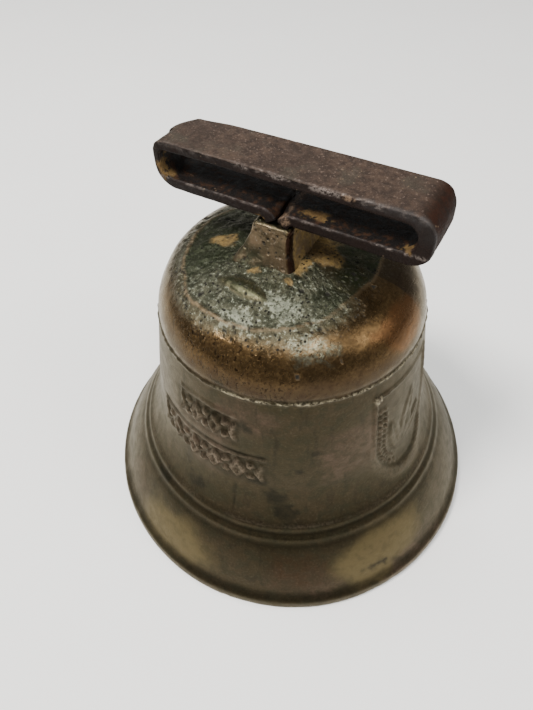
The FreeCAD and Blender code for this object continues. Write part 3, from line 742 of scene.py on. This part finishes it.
def make_strap_loop():
    """One flat iron bar bent round the slot, with worn edges, and both its ends turned down as tangs."""
    slot_line, outer_line = paired_lines()
    stations = len(slot_line)
    height = (slot_line[:, 1] + outer_line[:, 1]) / 2
    in_tang = (np.abs(slot_line[:, 0] - SEAM_SHIFT) < 4.3) & (height < 100.5)
    widening = (LOOP_HALF_BAND - TANG_HALF_WIDTH) * step(height, 97.0, 97.8)
    half_band = np.where(in_tang, TANG_HALF_WIDTH + widening, LOOP_HALF_BAND)
    foot = np.sqrt(np.clip(TANG_END_ROUND ** 2 - np.minimum(height - PIN_HEIGHT, 0) ** 2, 0.04, None))
    half_band = np.where(height < PIN_HEIGHT, np.minimum(half_band, foot), half_band)
    columns = 112
    parts, normals = [], []
    thickness = np.linalg.norm(outer_line - slot_line, axis=1)
    for number in range(stations):
        ring, out = rounded_ring(thickness[number] / 2, half_band[number],
                                 min(0.55, 0.4 * thickness[number], 0.8 * half_band[number]), columns)
        middle = (slot_line[number] + outer_line[number]) / 2
        across = (outer_line[number] - slot_line[number]) / thickness[number]
        x = middle[0] + ring[:, 0] * across[0]
        z = middle[1] + ring[:, 0] * across[1]
        parts.append(np.column_stack([x, ring[:, 1], z]))
        normals.append(np.column_stack([out[:, 0] * across[0], out[:, 1], out[:, 0] * across[1]]))
    p = np.vstack(parts)
    normal = np.vstack(normals)
    p, masks = forge_marks(p, normal)
    p, triangles = close_ends(p, columns, masks)
    loop = make_object("forged_strap_loop", [(p, grid_faces(stations, columns), triangles)], masks)
    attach(loop, "bell")
    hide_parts("strap_loop")
    return loop


def forge_marks(p, normal):
    """Hammered faces, chipped edges, the cut corner and the dirt in the notch, with the iron's masks.

    The bar stays inside the CAD bar but for its upper back edge on the right, which stands out by BACK_RISE.
    """
    y, z = p[:, 1], p[:, 2]
    low_part = step(z, 96.5, 98.5)
    edge = step(np.abs(normal[:, 1]), 0.15, 0.5) * step(np.abs(normal[:, 1]), 0.98, 0.8)
    front_upper = step(y, -5.8, -6.4) * step(z, 107.0, 108.6)
    hammered = -0.20 + 0.20 * noise(p, 8.5, 501) + 0.06 * noise(p, 3.2, 503)
    scale = 0.05 * fractal(p, 1.3, 3, 505)
    chips = dents(p, 1.7, 0.40, 511) * edge
    beaten = front_upper * (0.25 + 0.30 * noise(p, 2.6, 515))
    back_edge = step(y, 3.5, 6.2) * step(z, 107.5, 108.8)
    beating = hammered + scale - 0.38 * chips - 0.12 * edge - beaten
    p = p + normal * (beating * low_part * (1 - 0.75 * back_edge))[:, None]
    x, y, z = p.T  # views of p, so they follow its changes
    p[:, 1] += BACK_RISE * step(x, -25, 20) * step(y, 2.0, 6.5) * step(z, 104, 108)
    cut_start = -27.4 + 0.4 * noise(p, 4.0, 517)
    cut = 6.0 * np.clip((cut_start - x) / 4.0, 0, 1) + 0.9 * step(x, -18, -27)
    sunk_end = bump(y, -1.0, 7.0) * step(x, -28.5, -31.5) * step(z, 105.5, 108.0)
    p[:, 2] -= 0.5 * sunk_end
    p[:, 1] -= np.maximum(y, 0) / LOOP_HALF_BAND * np.maximum(cut, 0) * low_part
    p[:, 1] = np.clip(y, -LOOP_HALF_BAND, LOOP_HALF_BAND + BACK_RISE)
    p[:, 0] = np.clip(x, LOOP_LEFT, LOOP_RIGHT)
    p[:, 2] = np.minimum(z, LOOP_TOP)
    in_notch = bump(x, SEAM_SHIFT, 2.6) * step(z, 97.6, 98.5) * step(z, 102.0, 101.2)
    p[:, 2] += 1.7 * in_notch * step(y, -5.0, -1.0)
    ragged = fractal(p, 1.1, 3, 521)
    front_top = bump(y, -6.45, 0.75) * step(z, 108.2, 108.9) * step(ragged, -0.15, 0.35)
    front_low = bump(y, -6.6, 0.5) * bump(z, 100.8, 0.5) * step(ragged, -0.3, 0.3)
    right_end = bump(y, -6.3, 0.9) * step(x, 27.0, 30.0) * step(z, 103, 106)
    middle_top = step(x, -14, -6) * step(x, 24, 19)
    right_top = bump(y, -6.2, 1.3) * step(x, 16, 20) * step(z, 107.6, 108.8)
    below_top = step(z, 109.0, 107.6) * step(z, 96.6, 97.4)
    masks = {
        # Pale along the upper bar's front top edge and the lower bar's top front edge: painted highlight as
        # well as wear.
        "wear_and_sheen": front_top * (0.15 + 0.65 * middle_top) + 0.8 * front_low,
        "steel": 0.3 * right_end + 0.5 * right_top,
        "top": step(normal[:, 2], 0.35, 0.8) * step(z, 104.0, 107.5),
        "red": step(x, 27.5, 31.5) * step(y, -6.4, -5.0),
        # Near-black on the bar's faces inside the slot and behind it: painted shade.
        "slot_shade": step(y, -6.6, -5.6) * step(np.abs(x), 31.8, 30.8) * below_top,
        "ochre": patches(p, LOOP_OCHRE, 531, 0.75),
        "tan": patches(p, LOOP_TAN, 541, 0.6),
        # Faces toward the front: painted shade.
        "front": step(-normal[:, 1], 0.4, 0.9),
    }
    return p, masks


# ------------------------------------------------------------ material nodes

class Nodes:
    """Short ways to add and join shader nodes of one material."""

    def __init__(self, name):
        self.material = bpy.data.materials.new(name)
        self.material.use_nodes = True
        self.tree = self.material.node_tree
        self.shader = self.tree.nodes["Principled BSDF"]
        self.place = self.add("ShaderNodeTexCoord").outputs["Object"]

    def add(self, kind, **settings):
        node = self.tree.nodes.new(kind)
        for name, value in settings.items():
            setattr(node, name, value)
        return node

    def put(self, socket, value):
        if isinstance(value, bpy.types.NodeSocket):
            self.tree.links.new(value, socket)
        elif isinstance(value, (tuple, list)) and len(value) == 3 and socket.type == "RGBA":
            socket.default_value = (*value, 1.0)
        else:
            socket.default_value = value

    def mask(self, name):
        return self.add("ShaderNodeAttribute", attribute_name=name).outputs["Fac"]

    def noise(self, size_mm, detail=4.0, stretch=(1, 1, 1), turn=(0, 0, 0), roughness=0.55, distortion=0.0):
        """Noise with features about size_mm across, 0 to 1, around 0.5."""
        mapping = self.add("ShaderNodeMapping")
        self.put(mapping.inputs["Vector"], self.place)
        mapping.inputs["Rotation"].default_value = turn
        mapping.inputs["Scale"].default_value = stretch
        node = self.add("ShaderNodeTexNoise")
        self.put(node.inputs["Vector"], mapping.outputs["Vector"])
        node.inputs["Scale"].default_value = 1.0 / (size_mm * MM)
        node.inputs["Detail"].default_value = detail
        node.inputs["Roughness"].default_value = roughness
        node.inputs["Distortion"].default_value = distortion
        return node.outputs["Fac"]

    def specks(self, size_mm):
        """Distance to the nearest of many scattered points, in cell sizes."""
        node = self.add("ShaderNodeTexVoronoi")
        self.put(node.inputs["Vector"], self.place)
        node.inputs["Scale"].default_value = 1.0 / (size_mm * MM)
        return node.outputs["Distance"]

    def math(self, operation, a, b):
        node = self.add("ShaderNodeMath", operation=operation)
        for socket, value in zip(node.inputs, (a, b)):
            self.put(socket, value)
        return node.outputs[0]

    def fit(self, value, low, high, to_low=0.0, to_high=1.0):
        """value moved from low..high to to_low..to_high, smoothly and clamped."""
        node = self.add("ShaderNodeMapRange", interpolation_type="SMOOTHSTEP")
        self.put(node.inputs["Value"], value)
        for name, number in zip(("From Min", "From Max", "To Min", "To Max"), (low, high, to_low, to_high)):
            node.inputs[name].default_value = number
        return node.outputs["Result"]

    def both(self, a, b):
        return self.math("MULTIPLY", a, b)

    def mix(self, amount, a, b):
        """A colour between a and b; the Mix node's colour sockets are 6 and 7, and its colour result is 2."""
        node = self.add("ShaderNodeMix", data_type="RGBA")
        for number, value in ((0, amount), (6, a), (7, b)):
            self.put(node.inputs[number], value)
        return node.outputs[2]

    def blend(self, amount, a, b):
        """A number between a and b; the Mix node's number sockets are 2 and 3, and its result is 0."""
        node = self.add("ShaderNodeMix", data_type="FLOAT")
        for number, value in ((0, amount), (2, a), (3, b)):
            self.put(node.inputs[number], value)
        return node.outputs[0]

    def lay_tint(self, color, mask, cover, tint):
        """The colour with a tint laid over it where the mask is, as thickly as cover says."""
        return self.mix(self.both(self.mask(mask), cover), color, tint)

    def bump(self, height, distance_mm, strength=1.0):
        node = self.add("ShaderNodeBump")
        node.inputs["Strength"].default_value = strength
        node.inputs["Distance"].default_value = distance_mm * MM
        self.put(node.inputs["Height"], height)
        self.put(self.shader.inputs["Normal"], node.outputs["Normal"])


METAL_EDGE_TINT = (1.0, 0.95, 0.84, 1.0)


def bronze_material():
    """Old cast bronze: olive waist, warm dome, verdigris crown, grime and stains, with painted reflections on
    the sound bow and dome, and painted highlights, glints and shade.
    """
    n = Nodes("patinated_bronze")
    blotch = n.noise(15.0, 4.0, distortion=0.3)
    mottle = n.noise(3.0, 5.0, roughness=0.60)
    grain = n.noise(0.7, 4.0, roughness=0.70)
    sparkle = n.noise(0.9, 5.0, roughness=0.80)
    color = n.mix(n.fit(blotch, 0.38, 0.62), (0.03, 0.024, 0.0125), (0.036, 0.027, 0.015))
    color = n.mix(n.fit(mottle, 0.46, 0.64, 0.0, 0.45), color, (0.023, 0.024, 0.014))
    color = n.lay_tint(color, "pink", n.fit(mottle, 0.30, 0.62, 1.0, 0.35), (0.06, 0.04, 0.028))
    streaks = n.noise(2.2, 4.0, stretch=(1.0, 1.0, 0.10), roughness=0.6)
    color = n.mix(n.fit(streaks, 0.54, 0.66, 0.0, 0.40), color, (0.015, 0.012, 0.008))
    color = n.lay_tint(color, "umber", n.fit(mottle, 0.30, 0.62, 0.9, 0.4), (0.03, 0.0175, 0.0085))
    color = n.mix(n.fit(grain, 0.36, 0.64, 0.30, 0.0), color, (0.014, 0.012, 0.007))
    color = n.mix(n.fit(grain, 0.56, 0.72, 0.0, 0.30), color, (0.075, 0.062, 0.038))
    warm = n.mix(n.fit(blotch, 0.38, 0.62), (0.112, 0.07, 0.03), (0.092, 0.058, 0.026))
    warm = n.mix(n.fit(grain, 0.40, 0.64, 0.55, 0.0), warm, (0.03, 0.017, 0.007))
    # Darker low on the dome and outside its front arc; the darkening on the left side is painted shade.
    low = n.mix(n.fit(mottle, 0.35, 0.65), (0.047, 0.032, 0.0175), (0.034, 0.022, 0.0135))
    warm = n.mix(n.mask("dome_low"), warm, low)
    # Coppery patch on the dome's right side: painted reflection.
    copper_reflection = n.mix(n.fit(mottle, 0.35, 0.65), (0.135, 0.064, 0.026), (0.105, 0.051, 0.021))
    warm = n.lay_tint(warm, "copper_reflection", 0.85, copper_reflection)
    hairs = n.noise(0.5, 3.0, stretch=(1.0, 0.12, 0.6), turn=(0.2, 0.5, 0.75), distortion=0.6)
    hair_line = n.both(n.mask("hair"), n.fit(hairs, 0.55, 0.62))
    warm = n.mix(n.both(hair_line, 0.8), warm, (0.014, 0.008, 0.004))
    color = n.mix(n.mask("dome"), color, warm)
    # Golden patches on the sound bow to either side of the front: painted reflection of bright surroundings,
    # in a brassy tone.
    brass_reflection = n.mix(n.fit(mottle, 0.35, 0.65), (0.108, 0.083, 0.038), (0.076, 0.059, 0.028))
    color = n.lay_tint(color, "brass_reflection", n.fit(mottle, 0.25, 0.6, 0.55, 0.95), brass_reflection)
    color = n.lay_tint(color, "dark", n.fit(mottle, 0.3, 0.6, 0.45, 0.9), (0.012, 0.011, 0.007))
    # Dark in grooves, round the relief and along crack and seam; the line above the lower frieze fillet is
    # painted shadow.
    color = n.lay_tint(color, "grime_and_shade", n.fit(mottle, 0.25, 0.6, 0.55, 1.0), (0.01, 0.0085, 0.005))
    # Pale worn metal on raised edges: wear, with painted highlight on the ring edge, the frieze tops and the
    # lug's edges.
    color = n.lay_tint(color, "wear_and_sheen", n.fit(grain, 0.35, 0.6, 0.15, 0.85), (0.165, 0.13, 0.096))
    # Bright specks in the crust, denser in the pale mint patches, are painted glints.
    light = n.math("ADD", sparkle, n.both(n.mask("mint_highlight"), 0.10))
    crust = n.mix(n.fit(mottle, 0.38, 0.62), (0.02, 0.022, 0.012), (0.048, 0.048, 0.03))
    crust = n.mix(n.fit(light, 0.54, 0.64), crust, (0.2, 0.21, 0.16))
    crust = n.mix(n.fit(sparkle, 0.44, 0.36), crust, (0.01, 0.011, 0.007))
    color = n.lay_tint(color, "rough", n.fit(blotch, 0.2, 0.5, 0.65, 1.0), crust)
    # Pale mint patches over the crown and the dome's edge: painted highlight with a mint tint.
    color = n.lay_tint(color, "mint_highlight", n.fit(sparkle, 0.42, 0.60, 0.05, 0.65), (0.128, 0.136, 0.098))
    color = n.lay_tint(color, "green", n.fit(mottle, 0.3, 0.6, 0.45, 0.95), (0.011, 0.016, 0.006))
    tongue = n.mix(n.fit(mottle, 0.4, 0.6), (0.062, 0.058, 0.032), (0.036, 0.038, 0.021))
    color = n.mix(n.mask("tongue"), color, tongue)
    color = n.lay_tint(color, "crease", 0.85, (0.13, 0.092, 0.052))
    face = n.mix(n.fit(mottle, 0.35, 0.65), (0.13, 0.092, 0.055), (0.075, 0.058, 0.034))
    # Pale specks on the lug's face are painted glints.
    face = n.mix(n.fit(sparkle, 0.56, 0.66, 0.0, 0.8), face, (0.26, 0.215, 0.16))
    face = n.lay_tint(face, "green", n.fit(mottle, 0.3, 0.6, 0.5, 1.0), (0.024, 0.026, 0.015))
    color = n.mix(n.mask("lug"), color, face)
    # Dark red down the lug's front-right corner is painted shade; the spots on its face are rust.
    color = n.mix(n.mask("rust_and_shade"), color, (0.02, 0.009, 0.005))
    # Pale ragged ledge, strongest on its front-right stretch where it is painted highlight, and a pale chip
    # on the medallion.
    color = n.lay_tint(color, "cream_and_sheen", n.fit(grain, 0.42, 0.56), (0.29, 0.255, 0.17))
    color = n.lay_tint(color, "ochre", 0.6, (0.095, 0.06, 0.022))
    ochre = n.mix(n.fit(mottle, 0.35, 0.62), (0.35, 0.23, 0.085), (0.15, 0.098, 0.03))
    patchy = n.both(n.fit(mottle, 0.42, 0.56, 0.10, 0.95), n.fit(sparkle, 0.40, 0.54, 0.30, 1.0))
    color = n.lay_tint(color, "ochre", patchy, ochre)
    cavity = n.mix(n.fit(mottle, 0.4, 0.65), (0.06, 0.048, 0.032), (0.08, 0.08, 0.056))
    color = n.mix(n.mask("cavity"), color, cavity)
    small_pits = n.both(n.fit(n.mask("pitted"), 0.05, 0.60), n.fit(n.specks(1.15), 0.30, 0.20))
    hole = n.math("MAXIMUM", n.mask("pit"), n.both(small_pits, n.fit(mottle, 0.44, 0.56)))
    color = n.mix(hole, color, (0.004, 0.004, 0.003))
    n.put(n.shader.inputs["Base Color"], color)
    dull = n.math("MAXIMUM", n.mask("ochre"), n.math("MAXIMUM", hole, n.mask("cavity")))
    dull = n.math("MAXIMUM", dull, n.both(n.mask("cream_and_sheen"), 0.8))
    metal = n.blend(n.mask("rough"), 0.95, 0.60)
    metal = n.blend(dull, metal, 0.10)
    n.put(n.shader.inputs["Metallic"], metal)
    n.shader.inputs["Specular Tint"].default_value = METAL_EDGE_TINT
    n.shader.inputs["Specular IOR Level"].default_value = 0.35
    rough = n.fit(mottle, 0.3, 0.7, 0.38, 0.48)
    rough = n.blend(n.mask("dome"), rough, n.fit(mottle, 0.3, 0.7, 0.22, 0.33))
    rough = n.blend(n.mask("rough"), rough, 0.30)
    rough = n.blend(dull, rough, 0.85)
    n.put(n.shader.inputs["Roughness"], rough)
    crusted = n.both(n.noise(0.45, 4.0, roughness=0.75), n.both(n.mask("rough"), 2.4))
    height = n.math("ADD", n.both(grain, 0.30), crusted)
    height = n.math("SUBTRACT", height, n.both(hole, 1.5))
    height = n.math("SUBTRACT", height, n.both(hair_line, 0.5))
    n.bump(height, 0.12, 0.7)
    return n.material


def forged_material():
    """Forged iron: mauve-brown oxide, rust and worn bright edges partly painted as highlights, with painted
    shade on the front faces, the right end and inside the slot.
    """
    n = Nodes("forged_iron_oxide")
    blotch = n.noise(9.0, 5.0, distortion=0.3)
    mottle = n.noise(1.9, 5.0, roughness=0.65)
    grain = n.noise(0.55, 4.0, roughness=0.72)
    color = n.mix(n.fit(blotch, 0.35, 0.65), (0.0125, 0.0062, 0.0045), (0.008, 0.005, 0.004))
    color = n.mix(n.fit(grain, 0.50, 0.68, 0.0, 0.5), color, (0.03, 0.018, 0.012))
    broad = n.noise(26.0, 2.0)
    top = n.mix(n.fit(mottle, 0.35, 0.65), (0.047, 0.029, 0.0195), (0.022, 0.0138, 0.0098))
    top = n.mix(n.fit(broad, 0.40, 0.60, 0.0, 0.45), top, (0.022, 0.0138, 0.0098))
    top = n.mix(n.fit(blotch, 0.52, 0.68, 0.0, 0.6), top, (0.036, 0.03, 0.021))
    top = n.mix(n.fit(grain, 0.42, 0.32, 0.0, 0.8), top, (0.012, 0.008, 0.006))
    top = n.mix(n.fit(grain, 0.57, 0.68, 0.0, 0.7), top, (0.15, 0.108, 0.085))
    color = n.mix(n.mask("top"), color, top)
    # Red-brown oxide on the bar's right end, darkened as painted shade.
    red = n.mix(n.fit(mottle, 0.4, 0.65), (0.019, 0.007, 0.0035), (0.011, 0.0055, 0.0032))
    color = n.mix(n.mask("red"), color, red)
    # Near-black on the faces inside the slot is painted shade; its red-brown flecks are painted glints.
    inner = n.mix(n.fit(mottle, 0.46, 0.66), (0.0035, 0.002, 0.0014), (0.03, 0.013, 0.0055))
    color = n.mix(n.mask("slot_shade"), color, inner)
    dust = n.both(n.fit(n.specks(1.3), 0.17, 0.10, 0.0, 0.7), n.fit(blotch, 0.50, 0.60))
    color = n.mix(dust, color, (0.15, 0.105, 0.066))
    # Darker on the faces toward the front: painted shade.
    color = n.lay_tint(color, "front", 0.6, (0.006, 0.0036, 0.0027))
    color = n.lay_tint(color, "tan", n.fit(grain, 0.35, 0.6), (0.13, 0.086, 0.056))
    color = n.lay_tint(color, "steel", n.fit(mottle, 0.35, 0.6, 0.3, 0.9), (0.036, 0.034, 0.034))
    # Pale worn edges: wear, with painted highlight along the front top edges.
    color = n.lay_tint(color, "wear_and_sheen", n.fit(grain, 0.38, 0.56, 0.05, 0.95), (0.22, 0.185, 0.165))
    ochre = n.mix(n.fit(mottle, 0.40, 0.60), (0.175, 0.108, 0.036), (0.08, 0.048, 0.018))
    color = n.lay_tint(color, "ochre", n.fit(mottle, 0.40, 0.52), ochre)
    n.put(n.shader.inputs["Base Color"], color)
    n.put(n.shader.inputs["Metallic"], n.fit(n.mask("wear_and_sheen"), 0.1, 0.8, 0.0, 0.8))
    shaded = n.math("MAXIMUM", n.mask("front"), n.mask("red"))
    n.put(n.shader.inputs["Roughness"], n.blend(n.mask("red"), n.fit(mottle, 0.3, 0.7, 0.44, 0.62), 0.75))
    n.put(n.shader.inputs["Specular IOR Level"], n.blend(shaded, n.fit(mottle, 0.3, 0.7, 0.26, 0.20), 0.09))
    height = n.math("ADD", n.both(mottle, 0.7), n.both(grain, 0.6))
    n.bump(height, 0.34, 0.9)
    return n.material


def clapper_material(name, dark, light, polish):
    """Blackened iron of the clapper and its hanger, with rust in patches."""
    n = Nodes(name)
    blotch = n.noise(5.0, 5.0, distortion=0.5)
    mottle = n.noise(1.4, 5.0, roughness=0.65)
    color = n.mix(n.fit(blotch, 0.35, 0.65), dark, light)
    color = n.mix(n.fit(mottle, 0.52, 0.70, 0.0, 0.7), color, (0.15, 0.062, 0.03))
    n.put(n.shader.inputs["Base Color"], color)
    n.put(n.shader.inputs["Metallic"], n.fit(mottle, 0.45, 0.65, 0.7, 0.1))
    n.put(n.shader.inputs["Roughness"], n.fit(mottle, 0.3, 0.7, polish, 0.68))
    n.bump(n.math("ADD", n.both(mottle, 0.6), n.both(blotch, 0.6)), 0.25, 0.7)
    return n.material


def paint(piece, material):
    piece.data.materials.clear()
    piece.data.materials.append(material)


# ------------------------------------------------------------ floor, light and camera

FLOOR_HALF = 3.0
LIGHT_AIM = (0.0, 0.0, 0.06)
WORLD_STRENGTH = 0.38
# Name, azimuth, elevation, distance in m, size in m, power in W and colour.
LIGHTS = (
    ("key_left", -131, 57, 1.2, 0.32, 22.5, (1.0, 0.96, 0.91)),
    ("top", -42, 62, 1.2, 0.40, 8.0, (1.0, 1.0, 1.0)),
    ("back_top", 155, 68, 1.2, 0.34, 5.0, (0.95, 1.0, 0.99)),
    ("right", 8, 38, 1.3, 0.55, 5.0, (1.0, 0.97, 0.94)),
)
CAMERA_PLACE = (0.0460, -0.0879, 0.1676)
CAMERA_AIM = (-0.0045, -0.0064, 0.0500)
CAMERA_ROLL = -2.4
CAMERA_LENS = 26.37
CAMERA_SENSOR = 36.0


def make_floor():
    """Plain pale floor."""
    mesh = bpy.data.meshes.new("floor")
    corners = [(x * FLOOR_HALF, y * FLOOR_HALF, 0) for x, y in ((-1, -1), (1, -1), (1, 1), (-1, 1))]
    mesh.from_pydata(corners, [], [(0, 1, 2, 3)])
    floor = bpy.data.objects.new("floor", mesh)
    bpy.context.scene.collection.objects.link(floor)
    n = Nodes("floor_paper")
    tone = n.noise(60.0, 3.0)
    n.put(n.shader.inputs["Base Color"], n.mix(tone, (0.86, 0.86, 0.85), (0.90, 0.90, 0.89)))
    n.shader.inputs["Roughness"].default_value = 0.9
    n.shader.inputs["Specular IOR Level"].default_value = 0.1
    mesh.materials.append(n.material)


def soft_light(name, azimuth, elevation, distance, size, power, color):
    """Square soft light aimed at the bell from an azimuth and elevation in degrees."""
    data = bpy.data.lights.new(name, "AREA")
    data.shape = "SQUARE"
    data.size = size
    data.energy = power
    data.color = color
    light = bpy.data.objects.new(name, data)
    a, e = math.radians(azimuth), math.radians(elevation)
    out = Vector((math.cos(a) * math.cos(e), math.sin(a) * math.cos(e), math.sin(e)))
    light.location = Vector(LIGHT_AIM) + out * distance
    light.rotation_euler = out.to_track_quat("Z", "Y").to_euler()
    bpy.context.scene.collection.objects.link(light)


def make_lights():
    """Even pale surroundings and four soft lamps."""
    world = bpy.data.worlds.new("studio")
    world.use_nodes = True
    background = world.node_tree.nodes["Background"]
    background.inputs["Color"].default_value = (1.0, 0.99, 0.97, 1.0)
    background.inputs["Strength"].default_value = WORLD_STRENGTH
    bpy.context.scene.world = world
    for light in LIGHTS:
        soft_light(*light)


def make_camera():
    """Close view from the front and above, as of a phone held over the bell."""
    data = bpy.data.cameras.new("camera")
    data.sensor_width = CAMERA_SENSOR
    data.lens = CAMERA_LENS
    data.clip_start = 0.01
    camera = bpy.data.objects.new("camera", data)
    place = Vector(CAMERA_PLACE)
    turn = (Vector(CAMERA_AIM) - place).to_track_quat("-Z", "Y").to_matrix().to_4x4()
    roll = Matrix.Rotation(math.radians(CAMERA_ROLL), 4, "Z")
    camera.matrix_world = Matrix.Translation(place) @ turn @ roll
    bpy.context.scene.collection.objects.link(camera)
    bpy.context.scene.camera = camera


bell = make_bell()
loop = make_strap_loop()
paint(bell, bronze_material())
paint(loop, forged_material())
iron = clapper_material("clapper_iron_oxide", (0.050, 0.040, 0.036), (0.095, 0.070, 0.056), 0.40)
drop = clapper_material("cast_drop_iron", (0.060, 0.052, 0.048), (0.115, 0.100, 0.090), 0.34)
for node in ("shackle_pin", "shackle_roves", "clapper_shackle", "clapper_shank", "clapper_rove"):
    paint(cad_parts[node], iron)
paint(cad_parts["clapper_ball"], drop)
make_floor()
make_lights()
make_camera()
